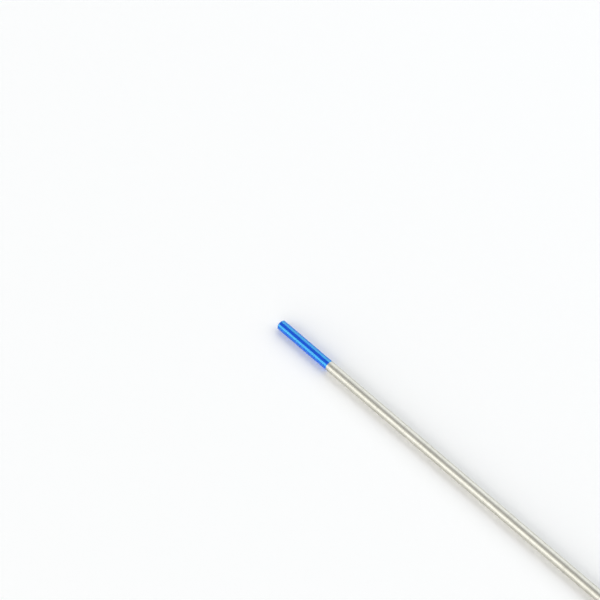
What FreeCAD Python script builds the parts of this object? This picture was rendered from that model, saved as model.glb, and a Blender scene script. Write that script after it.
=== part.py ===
import FreeCAD, Part
import math
import os

# A 1.6 mm tungsten electrode for TIG welding: a ground rod with one end dipped in blue grade paint.
# Units are millimetres. The rod lies along X and the origin is on its axis, halfway along it.
# The painted end points to -X. The working end, +X, is cut square and not yet ground to a point.

# Rod
ROD_DIAMETER = 1.6
ROD_LENGTH = 175.0
END_CHAMFER = 0.2         # 45 degree chamfer at both cut ends
EDGE_BREAK = 0.05         # radius left by deburring on both edges of each chamfer

# Grade paint
PAINT_LENGTH = 10.8       # from the cut face back to where the paint stops
PAINT_THICKNESS = 0.015
PAINT_EDGE_RUN = 0.06     # length over which the film rolls down to the metal where it stops

ROD_RADIUS = ROD_DIAMETER / 2
PAINTED_END = -ROD_LENGTH / 2
WORKING_END = ROD_LENGTH / 2
PAINT_STOP = PAINTED_END + PAINT_LENGTH

AXIS = FreeCAD.Vector(1, 0, 0)
ORIGIN = FreeCAD.Vector(0, 0, 0)


def point(x, radius):
    """A point of a turned profile, given by its place along the axis and its distance from it."""
    return FreeCAD.Vector(x, 0, radius)


def straight(*points):
    """Straight edges through the points in turn."""
    return [Part.makeLine(a, b) for a, b in zip(points, points[1:])]


def turn(edges):
    """The solid of revolution that a closed profile makes about the rod's axis."""
    return Part.Face(Part.Wire(edges)).revolve(ORIGIN, AXIS, 360)


def round_rings(solid, radius, places):
    """Rounds the circular edges that lie at the given places along the axis."""
    circles = [edge for edge in solid.Edges if isinstance(edge.Curve, Part.Circle)]
    rings = [edge for edge in circles if any(abs(edge.Curve.Center.x - x) < 1e-6 for x in places)]
    return solid.makeFillet(radius, rings)


def ground_rod():
    """The rod over its full length, chamfered and deburred at both cut ends."""
    near_painted_end = PAINTED_END + END_CHAMFER
    near_working_end = WORKING_END - END_CHAMFER
    face_radius = ROD_RADIUS - END_CHAMFER
    start = point(PAINTED_END, 0)
    blank = turn(straight(
        start,
        point(PAINTED_END, face_radius),
        point(near_painted_end, ROD_RADIUS),
        point(near_working_end, ROD_RADIUS),
        point(WORKING_END, face_radius),
        point(WORKING_END, 0),
        start,
    ))
    return round_rings(blank, EDGE_BREAK, [PAINTED_END, near_painted_end, near_working_end, WORKING_END])


def rolled_edge():
    """The arc by which the film falls to the metal where the paint stops, level with the film at its top."""
    radius = (PAINT_EDGE_RUN ** 2 + PAINT_THICKNESS ** 2) / (2 * PAINT_THICKNESS)
    half_sweep = math.asin(PAINT_EDGE_RUN / radius) / 2
    top = point(PAINT_STOP - PAINT_EDGE_RUN, ROD_RADIUS + PAINT_THICKNESS)
    middle = point(
        top.x + radius * math.sin(half_sweep),
        top.z - radius + radius * math.cos(half_sweep),
    )
    return top, Part.Arc(top, middle, point(PAINT_STOP, ROD_RADIUS)).toShape()


def grade_paint(rod):
    """The dipped coat: a film of even thickness over the shaft, the chamfer and the end face."""
    film_end = PAINTED_END - PAINT_THICKNESS
    film_radius = ROD_RADIUS + PAINT_THICKNESS
    film_chamfer = END_CHAMFER + (2 - math.sqrt(2)) * PAINT_THICKNESS
    near_film_end = film_end + film_chamfer
    roll_top, roll = rolled_edge()
    outside = straight(
        point(PAINT_STOP, 0),
        point(film_end, 0),
        point(film_end, film_radius - film_chamfer),
        point(near_film_end, film_radius),
        roll_top,
    )
    inner_end = straight(point(PAINT_STOP, ROD_RADIUS), point(PAINT_STOP, 0))
    dipped = turn(outside + [roll] + inner_end)
    dipped = round_rings(dipped, EDGE_BREAK + PAINT_THICKNESS, [film_end, near_film_end])
    return dipped.cut(rod)


def main():
    os.makedirs("parts", exist_ok=True)
    rod = ground_rod()
    pieces = {"tungsten_rod": rod, "blue_grade_paint": grade_paint(rod)}
    for name, piece in pieces.items():
        piece.Solids[0].exportStep(f"parts/{name}.step")
        print(name, len(piece.Solids), "solid,", round(piece.Volume, 3), "mm3")


main()
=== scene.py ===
import bpy
import bmesh
import math
from mathutils import Matrix, Vector

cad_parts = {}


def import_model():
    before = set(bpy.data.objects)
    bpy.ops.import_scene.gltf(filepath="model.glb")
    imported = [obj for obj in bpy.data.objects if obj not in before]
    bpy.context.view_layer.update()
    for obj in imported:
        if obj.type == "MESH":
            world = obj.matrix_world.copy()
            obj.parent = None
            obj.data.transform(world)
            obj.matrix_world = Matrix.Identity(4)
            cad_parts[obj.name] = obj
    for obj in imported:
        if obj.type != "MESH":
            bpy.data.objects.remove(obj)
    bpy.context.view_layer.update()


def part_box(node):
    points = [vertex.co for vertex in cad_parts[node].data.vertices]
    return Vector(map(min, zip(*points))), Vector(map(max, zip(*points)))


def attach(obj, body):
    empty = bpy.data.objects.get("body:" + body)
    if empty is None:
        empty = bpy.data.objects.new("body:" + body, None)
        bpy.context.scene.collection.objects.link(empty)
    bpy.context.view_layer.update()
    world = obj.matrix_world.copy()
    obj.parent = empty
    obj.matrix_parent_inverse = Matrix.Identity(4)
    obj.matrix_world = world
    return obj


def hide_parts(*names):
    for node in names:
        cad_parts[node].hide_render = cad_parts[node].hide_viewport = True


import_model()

MM = 0.001

# The electrode's sizes, in metres; the places of its two ends are read from the frame.
LOW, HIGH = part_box("tungsten_rod")
PAINTED_END = LOW.x
WORKING_END = HIGH.x
ROD_RADIUS = 0.8 * MM
END_CHAMFER = 0.2 * MM
EDGE_BREAK = 0.05 * MM
PAINT_THICKNESS = 0.015 * MM
PAINT_STOP = PAINTED_END + 10.8 * MM
PAINT_EDGE_RUN = 0.06 * MM
FLOOR = -ROD_RADIUS - PAINT_THICKNESS

# How finely the turned meshes are divided.
SEGMENTS = 96
CORNER_STEPS = 5
PAINT_EDGE_STEPS = 5
ROD_LENGTHS = 48
PAINT_LENGTHS = 16
FACE_RINGS = (0.0, 0.25, 0.5)  # on an end face, as shares of the radius
ON_AXIS = 1e-9  # a row with a smaller radius is a single point on the axis

# The flat layout of each piece, in which its surface can be baked.
FLAT_MAP = "OFBake"
FLAT_GAP = 0.25 * MM  # between the parts of a layout
ROD_STRIPS = 6
PAINT_STRIPS = 2


# Shapes

def rounded(corner, before, after, radius):
    """Points of the arc that rounds a profile's corner between its neighbours."""
    a = (Vector(before) - Vector(corner)).normalized()
    b = (Vector(after) - Vector(corner)).normalized()
    half = a.angle(b) / 2
    middle = Vector(corner) + (a + b).normalized() * radius / math.sin(half)
    start = Vector(corner) + a * radius / math.tan(half) - middle
    stop = Vector(corner) + b * radius / math.tan(half) - middle
    turn = start.angle(stop)
    arc = []
    for i in range(CORNER_STEPS + 1):
        share = i / CORNER_STEPS
        point = (start * math.sin((1 - share) * turn) + stop * math.sin(share * turn)) / math.sin(turn)
        arc.append(tuple(middle + point))
    return arc


def end_profile(face, inward, radius, chamfer, edge):
    """A cut end's outline from the axis to the shaft: end face, chamfer and their rounded edges."""
    ring = (face, radius - chamfer)
    shoulder = (face + inward * chamfer, radius)
    along_shaft = (face + inward * 3 * chamfer, radius)
    rings = [(face, radius * share) for share in FACE_RINGS]
    return rings + rounded(ring, (face, 0), shoulder, edge) + rounded(shoulder, ring, along_shaft, edge)


def straight(start, stop, radius, lengths):
    """The points between start and stop that divide a straight shaft into this many lengths."""
    return [(start + (stop - start) * i / lengths, radius) for i in range(1, lengths)]


def flat_places(profile, strips):
    """Lays a turned piece flat in the unit square: its shaft in strips, its two ends as discs beside them.

    Gives place(pair, row, angle). It tells where a point of that row lies, at that angle round the axis, for
    the faces between the rows pair and pair + 1.
    """
    run = [0.0]
    for a, b in zip(profile, profile[1:]):
        run.append(run[-1] + math.dist(a, b))
    end_rows = len(end_profile(0, 1, ROD_RADIUS, END_CHAMFER, EDGE_BREAK)) - 1
    shaft_start = run[end_rows]
    shaft_stop = run[-1 - end_rows]
    strip_length = (shaft_stop - shaft_start) / strips
    strip_height = 2 * math.pi * (ROD_RADIUS + PAINT_THICKNESS) + FLAT_GAP
    disc_radius = shaft_start
    disc_along = strip_length + 2 * FLAT_GAP + disc_radius
    side = max(strips * strip_height, disc_along + disc_radius) + 2 * FLAT_GAP

    def on_disc(reach, angle, up):
        return disc_along + reach * math.cos(angle), up + reach * math.sin(angle)

    def on_strip(along, number, angle):
        height = angle * (strip_height - FLAT_GAP) / (2 * math.pi)
        return along - number * strip_length, number * strip_height + height

    def place(pair, row, angle):
        if pair < end_rows:
            u, v = on_disc(run[row], angle, disc_radius)
        elif pair >= len(profile) - 1 - end_rows:
            u, v = on_disc(run[-1] - run[row], angle, 3 * disc_radius + FLAT_GAP)
        else:
            middle = (run[pair] + run[pair + 1]) / 2 - shaft_start
            number = min(int(middle / strip_length), strips - 1)
            u, v = on_strip(run[row] - shaft_start, number, angle)
        return (u + FLAT_GAP) / side, (v + FLAT_GAP) / side

    return place


def lathe(name, profile, strips, wobble=None):
    """A mesh turned about the X axis from (x, radius) points, laid flat in this many strips.

    wobble(x, angle) may shift a point along X.
    """
    bm = bmesh.new()
    flat = bm.loops.layers.uv.new(FLAT_MAP)
    place = flat_places(profile, strips)
    rows = []
    for x, radius in profile:
        if radius < ON_AXIS:
            rows.append([bm.verts.new((x, 0, 0))] * (SEGMENTS + 1))
            continue
        row = []
        for i in range(SEGMENTS):
            angle = 2 * math.pi * i / SEGMENTS
            shift = wobble(x, angle) if wobble else 0
            row.append(bm.verts.new((x + shift, -radius * math.sin(angle), radius * math.cos(angle))))
        rows.append(row + row[:1])
    for pair, (a, b) in enumerate(zip(rows, rows[1:])):
        for i in range(SEGMENTS):
            corners = [
                (a[i], pair, i),
                (a[i + 1], pair, i + 1),
                (b[i + 1], pair + 1, i + 1),
                (b[i], pair + 1, i),
            ]
            if a[0] is a[1]:
                corners.pop(1)
            elif b[0] is b[1]:
                corners.pop(2)
            face = bm.faces.new([corner[0] for corner in corners])
            for loop, (_, row, turn) in zip(face.loops, corners):
                loop[flat].uv = place(pair, row, 2 * math.pi * turn / SEGMENTS)
    bmesh.ops.recalc_face_normals(bm, faces=bm.faces)
    mesh = bpy.data.meshes.new(name)
    bm.to_mesh(mesh)
    bm.free()
    mesh.shade_smooth()
    thing = bpy.data.objects.new(name, mesh)
    bpy.context.scene.collection.objects.link(thing)
    return thing


def ground_rod():
    """The bare rod over its full length."""
    head = end_profile(PAINTED_END, 1, ROD_RADIUS, END_CHAMFER, EDGE_BREAK)
    tail = end_profile(WORKING_END, -1, ROD_RADIUS, END_CHAMFER, EDGE_BREAK)[::-1]
    shaft = straight(head[-1][0], tail[0][0], ROD_RADIUS, ROD_LENGTHS)
    return lathe("ground_rod", head + shaft + tail, ROD_STRIPS)


def uneven_edge(x, angle):
    """The dip line isn't perfectly square: it wanders by a few hundredths of a millimetre round the rod."""
    reach = 1.2 * MM
    near = max(0.0, 1 - abs(x - PAINT_STOP) / reach)
    slow = 0.030 * math.sin(angle + 0.7)
    medium = 0.016 * math.sin(3 * angle + 2.1)
    quick = 0.008 * math.sin(7 * angle)
    return (slow + medium + quick) * MM * near


def paint_film():
    """The dipped film, closed: its outside, the edge where it stops and the inside that lies on the metal."""
    film_radius = ROD_RADIUS + PAINT_THICKNESS
    film_chamfer = END_CHAMFER + (2 - math.sqrt(2)) * PAINT_THICKNESS
    film_edge = EDGE_BREAK + PAINT_THICKNESS
    outside = end_profile(PAINTED_END - PAINT_THICKNESS, 1, film_radius, film_chamfer, film_edge)
    top = PAINT_STOP - PAINT_EDGE_RUN
    shaft = straight(outside[-1][0], top, film_radius, PAINT_LENGTHS)
    roll = (PAINT_EDGE_RUN ** 2 + PAINT_THICKNESS ** 2) / (2 * PAINT_THICKNESS)
    sweep = math.asin(PAINT_EDGE_RUN / roll)
    edge = []
    for i in range(PAINT_EDGE_STEPS + 1):
        angle = sweep * i / PAINT_EDGE_STEPS
        edge.append((top + roll * math.sin(angle), film_radius - roll * (1 - math.cos(angle))))
    inside = end_profile(PAINTED_END, 1, ROD_RADIUS, END_CHAMFER, EDGE_BREAK)[::-1]
    return lathe("paint_film", outside + shaft + edge + inside, PAINT_STRIPS, uneven_edge)


# Materials

class Nodes:
    """Short calls for building the node tree of a material or of the world."""

    def __init__(self, owner, output="ShaderNodeOutputMaterial", place="Object"):
        self.owner = owner
        owner.use_nodes = True
        self.tree = owner.node_tree
        self.tree.nodes.clear()
        self.surface = self.add(output).inputs["Surface"]
        self.place = self.add("ShaderNodeTexCoord").outputs[place]

    def add(self, kind, **settings):
        node = self.tree.nodes.new(kind)
        for key, value in settings.items():
            setattr(node, key, value)
        return node

    def wire(self, source, target):
        """Links an output to an input, or sets the input to a plain value."""
        if hasattr(source, "is_output"):
            self.tree.links.new(source, target)
        else:
            target.default_value = source

    def stretched(self, scale):
        """The coordinates, scaled along each axis."""
        node = self.add("ShaderNodeMapping")
        node.inputs["Scale"].default_value = scale
        self.wire(self.place, node.inputs["Vector"])
        return node.outputs["Vector"]

    def noise(self, scale, detail, roughness):
        """Noise from 0 to 1 on stretched coordinates. A larger scale along an axis makes it finer there."""
        node = self.add("ShaderNodeTexNoise")
        self.wire(self.stretched(scale), node.inputs["Vector"])
        node.inputs["Scale"].default_value = 1.0
        node.inputs["Detail"].default_value = detail
        node.inputs["Roughness"].default_value = roughness
        return node.outputs["Fac"]

    def along(self, axis):
        """One of the coordinates."""
        node = self.add("ShaderNodeSeparateXYZ")
        self.wire(self.place, node.inputs["Vector"])
        return node.outputs[axis]

    def length(self, vector):
        node = self.add("ShaderNodeVectorMath", operation="LENGTH")
        self.wire(vector, node.inputs[0])
        return node.outputs["Value"]

    def math(self, operation, a, b=0.0):
        node = self.add("ShaderNodeMath", operation=operation)
        self.wire(a, node.inputs[0])
        self.wire(b, node.inputs[1])
        return node.outputs[0]

    def near(self, value, target, reach):
        """1 where value is the target, falling to 0 within reach."""
        return self.span(self.math("ABSOLUTE", self.math("SUBTRACT", value, target)), 0.0, reach, 1.0, 0.0)

    def span(self, value, low, high, to_low, to_high):
        """value taken smoothly from between low and high to between to_low and to_high."""
        node = self.add("ShaderNodeMapRange", interpolation_type="SMOOTHSTEP")
        self.wire(value, node.inputs["Value"])
        self.wire(low, node.inputs["From Min"])
        self.wire(high, node.inputs["From Max"])
        self.wire(to_low, node.inputs["To Min"])
        self.wire(to_high, node.inputs["To Max"])
        return node.outputs["Result"]

    def mix(self, share, a, b):
        """Colour a where share is 0 and colour b where it is 1."""
        node = self.add("ShaderNodeMix", data_type="RGBA")
        self.wire(share, node.inputs["Factor"])
        self.wire(a, node.inputs[6])
        self.wire(b, node.inputs[7])
        return node.outputs[2]

    def bump(self, height, distance):
        node = self.add("ShaderNodeBump")
        node.inputs["Strength"].default_value = 1.0
        node.inputs["Distance"].default_value = distance
        self.wire(height, node.inputs["Height"])
        return node.outputs["Normal"]

    def seen(self):
        """1 for what the camera, a mirror or glass shows, and 0 for the light that falls on things."""
        path = self.add("ShaderNodeLightPath").outputs
        mirrored = self.math("MAXIMUM", path["Is Glossy Ray"], path["Is Transmission Ray"])
        return self.math("MAXIMUM", path["Is Camera Ray"], mirrored)

    def shader(self, **values):
        node = self.add("ShaderNodeBsdfPrincipled")
        for key, value in values.items():
            self.wire(value, node.inputs[key.replace("_", " ")])
        self.wire(node.outputs["BSDF"], self.surface)
        return self.owner


def tungsten():
    """Centreless ground tungsten: warm silver with fine rings round the rod, and duller cut ends."""
    dark_silver = (0.585, 0.575, 0.515, 1)
    light_silver = (0.645, 0.635, 0.575, 1)
    mark_grey = (0.42, 0.41, 0.37, 1)
    ring_grey = (0.46, 0.45, 0.41, 1)
    chamfer_grey = (0.52, 0.51, 0.47, 1)
    dark_cut = (0.40, 0.39, 0.37, 1)
    light_cut = (0.50, 0.49, 0.465, 1)
    shoulder = WORKING_END - END_CHAMFER
    blend = 0.01 * MM
    relief = 0.0012 * MM

    n = Nodes(bpy.data.materials.new("ground_tungsten"))
    from_middle = n.math("ABSOLUTE", n.along("X"))
    chamfer = n.span(from_middle, shoulder - blend, shoulder + blend, 0.0, 1.0)
    face = n.span(from_middle, WORKING_END - 2 * blend, WORKING_END - blend, 0.0, 1.0)

    rings = n.noise((24000, 260, 260), 2.0, 0.5)
    marks = n.noise((5200, 340, 340), 3.0, 0.65)
    bands = n.noise((900, 60, 60), 3.0, 0.55)
    drift = n.noise((60, 500, 500), 3.0, 0.6)
    saw_lines = n.noise((200, 2500, 52000), 3.0, 0.6)

    tone = n.math("ADD", n.math("MULTIPLY", bands, 0.5), n.math("MULTIPLY", drift, 0.5))
    silver = n.mix(n.span(tone, 0.35, 0.65, 0.0, 1.0), dark_silver, light_silver)
    marked = n.mix(n.span(marks, 0.56, 0.76, 0.0, 0.35), silver, mark_grey)
    ringed = n.mix(n.span(rings, 0.40, 0.70, 0.0, 0.28), marked, ring_grey)
    shaft = n.mix(chamfer, ringed, chamfer_grey)
    sawn = n.mix(n.span(saw_lines, 0.3, 0.7, 0.0, 1.0), dark_cut, light_cut)
    colour = n.mix(face, shaft, sawn)

    ground = n.span(rings, 0.3, 0.7, 0.48, 0.60)
    roughness = n.math("ADD", ground, n.span(marks, 0.50, 0.74, 0.0, 0.06))

    round_height = n.math("ADD", n.math("MULTIPLY", rings, 0.4), n.math("MULTIPLY", marks, 0.6))
    round_height = n.math("MULTIPLY", round_height, n.math("SUBTRACT", 1.0, face))
    cut_height = n.math("MULTIPLY", saw_lines, face)
    normal = n.bump(n.math("ADD", round_height, cut_height), relief)
    tangent = n.add("ShaderNodeTangent", direction_type="UV_MAP", uv_map=FLAT_MAP).outputs["Tangent"]
    return n.shader(
        Base_Color=colour,
        Metallic=1.0,
        Roughness=roughness,
        Anisotropic=0.35,
        Normal=normal,
        Tangent=tangent,
    )


def blue_paint():
    """Glossy saturated blue lacquer, a little uneven from the dip and thinner over the end's edges."""
    deep_blue = (0.000, 0.014, 0.68, 1)
    light_blue = (0.000, 0.022, 0.76, 1)
    thin_blue = (0.010, 0.115, 0.80, 1)
    gloss_tint = (0.18, 1.0, 0.66, 1)
    edge_reach = 0.05 * MM
    relief = 0.003 * MM

    n = Nodes(bpy.data.materials.new("blue_paint"))
    flow = n.noise((250, 600, 600), 1.0, 0.5)
    ripple = n.noise((1500, 2200, 2200), 2.0, 0.5)
    cloud = n.noise((500, 700, 700), 3.0, 0.6)
    lacquer = n.mix(n.span(cloud, 0.3, 0.7, 0.0, 1.0), deep_blue, light_blue)

    off_axis = n.length(n.stretched((0, 1, 1)))
    shoulder = n.near(n.along("X"), PAINTED_END + END_CHAMFER, edge_reach)
    ring = n.near(off_axis, ROD_RADIUS - END_CHAMFER, edge_reach)
    on_face = n.span(n.along("X"), PAINTED_END, PAINTED_END + edge_reach, 1.0, 0.0)
    edges = n.math("MAXIMUM", shoulder, n.math("MULTIPLY", ring, on_face))
    thin = n.math("MULTIPLY", edges, n.span(ripple, 0.35, 0.65, 0.1, 0.6))
    colour = n.mix(thin, lacquer, thin_blue)

    roughness = n.math("ADD", n.span(flow, 0.3, 0.7, 0.13, 0.19), n.math("MULTIPLY", thin, 0.12))
    height = n.math("ADD", flow, n.math("MULTIPLY", ripple, 0.15))
    return n.shader(
        Base_Color=colour,
        Roughness=roughness,
        IOR=2.7,
        Specular_Tint=gloss_tint,
        Normal=n.bump(height, relief),
    )


# Stage

def floor():
    """A plain pale floor that the rod lies on, white where it runs off into the distance."""
    half = 3.0
    white_from = 0.4
    white_full = 1.0
    corners = [(-half, -half, FLOOR), (half, -half, FLOOR), (half, half, FLOOR), (-half, half, FLOOR)]
    mesh = bpy.data.meshes.new("floor")
    mesh.from_pydata(corners, [], [(0, 1, 2, 3)])
    thing = bpy.data.objects.new("floor", mesh)
    bpy.context.scene.collection.objects.link(thing)

    n = Nodes(bpy.data.materials.new("floor"))
    matt = n.add("ShaderNodeBsdfDiffuse")
    matt.inputs["Color"].default_value = (0.98, 0.98, 0.98, 1)
    white = n.add("ShaderNodeEmission")
    far = n.add("ShaderNodeMixShader")
    distance = n.span(n.length(n.place), white_from, white_full, 0.0, 1.0)
    n.wire(n.math("MULTIPLY", n.seen(), distance), far.inputs[0])
    n.wire(matt.outputs[0], far.inputs[1])
    n.wire(white.outputs[0], far.inputs[2])
    n.wire(far.outputs[0], n.surface)
    thing.data.materials.append(n.owner)


def strip(name, tilt, distance, width, radiance, colour):
    """A long softbox parallel to the rod. tilt is its angle from overhead towards -Y, in degrees."""
    length = 2.4
    light = bpy.data.lights.new(name, "AREA")
    light.shape = "RECTANGLE"
    light.size = length
    light.size_y = width
    light.energy = radiance * math.pi * length * width
    light.color = colour
    lamp = bpy.data.objects.new(name, light)
    angle = math.radians(tilt)
    lamp.location = (0, -distance * math.sin(angle), distance * math.cos(angle))
    lamp.rotation_euler = (angle, 0, 0)
    lamp.visible_camera = False
    bpy.context.scene.collection.objects.link(lamp)


def world(level):
    """Even light at this level, which the camera and mirrors see brighten to white at the horizon."""
    white_below = 0.15
    even_above = 0.5
    studio = bpy.data.worlds.new("studio")
    bpy.context.scene.world = studio
    n = Nodes(studio, "ShaderNodeOutputWorld", "Generated")
    white = n.span(n.along("Z"), white_below, even_above, 1.0 - level, 0.0)
    background = n.add("ShaderNodeBackground")
    background.inputs["Color"].default_value = (1, 1, 1, 1)
    n.wire(n.math("ADD", level, n.math("MULTIPLY", n.seen(), white)), background.inputs["Strength"])
    n.wire(background.outputs[0], n.surface)


def camera():
    """The photograph's camera: place, direction, focal length and slight roll are worked out from it."""
    place = (0.05705, -0.13318, 0.25170)
    azimuth = 46.49
    elevation = 51.35
    roll = 0.59
    picture_width = 600  # pixels
    focal_length = 2090  # pixels

    data = bpy.data.cameras.new("camera")
    data.sensor_width = 36.0
    data.lens = data.sensor_width * focal_length / picture_width
    data.clip_start = 0.01
    data.clip_end = 20
    thing = bpy.data.objects.new("camera", data)
    turned = Matrix.Rotation(math.radians(azimuth), 4, "Z")
    tilted = Matrix.Rotation(math.radians(90 - elevation), 4, "X")
    rolled = Matrix.Rotation(math.radians(roll), 4, "Z")
    thing.matrix_world = Matrix.Translation(place) @ turned @ tilted @ rolled
    bpy.context.scene.collection.objects.link(thing)
    bpy.context.scene.camera = thing


# Scene

rod = ground_rod()
rod.data.materials.append(tungsten())
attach(rod, "root")
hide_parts("tungsten_rod")

film = paint_film()
film.data.materials.append(blue_paint())
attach(film, "root")
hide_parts("blue_grade_paint")

floor()
world(level=0.38)
strip("near_strip", tilt=66, distance=0.9, width=0.72, radiance=1.9, colour=(1.0, 0.985, 0.95))
strip("far_strip", tilt=-46, distance=0.9, width=0.8, radiance=1.48, colour=(0.96, 1.0, 1.03))
camera()
bpy.context.scene.view_settings.view_transform = "Standard"
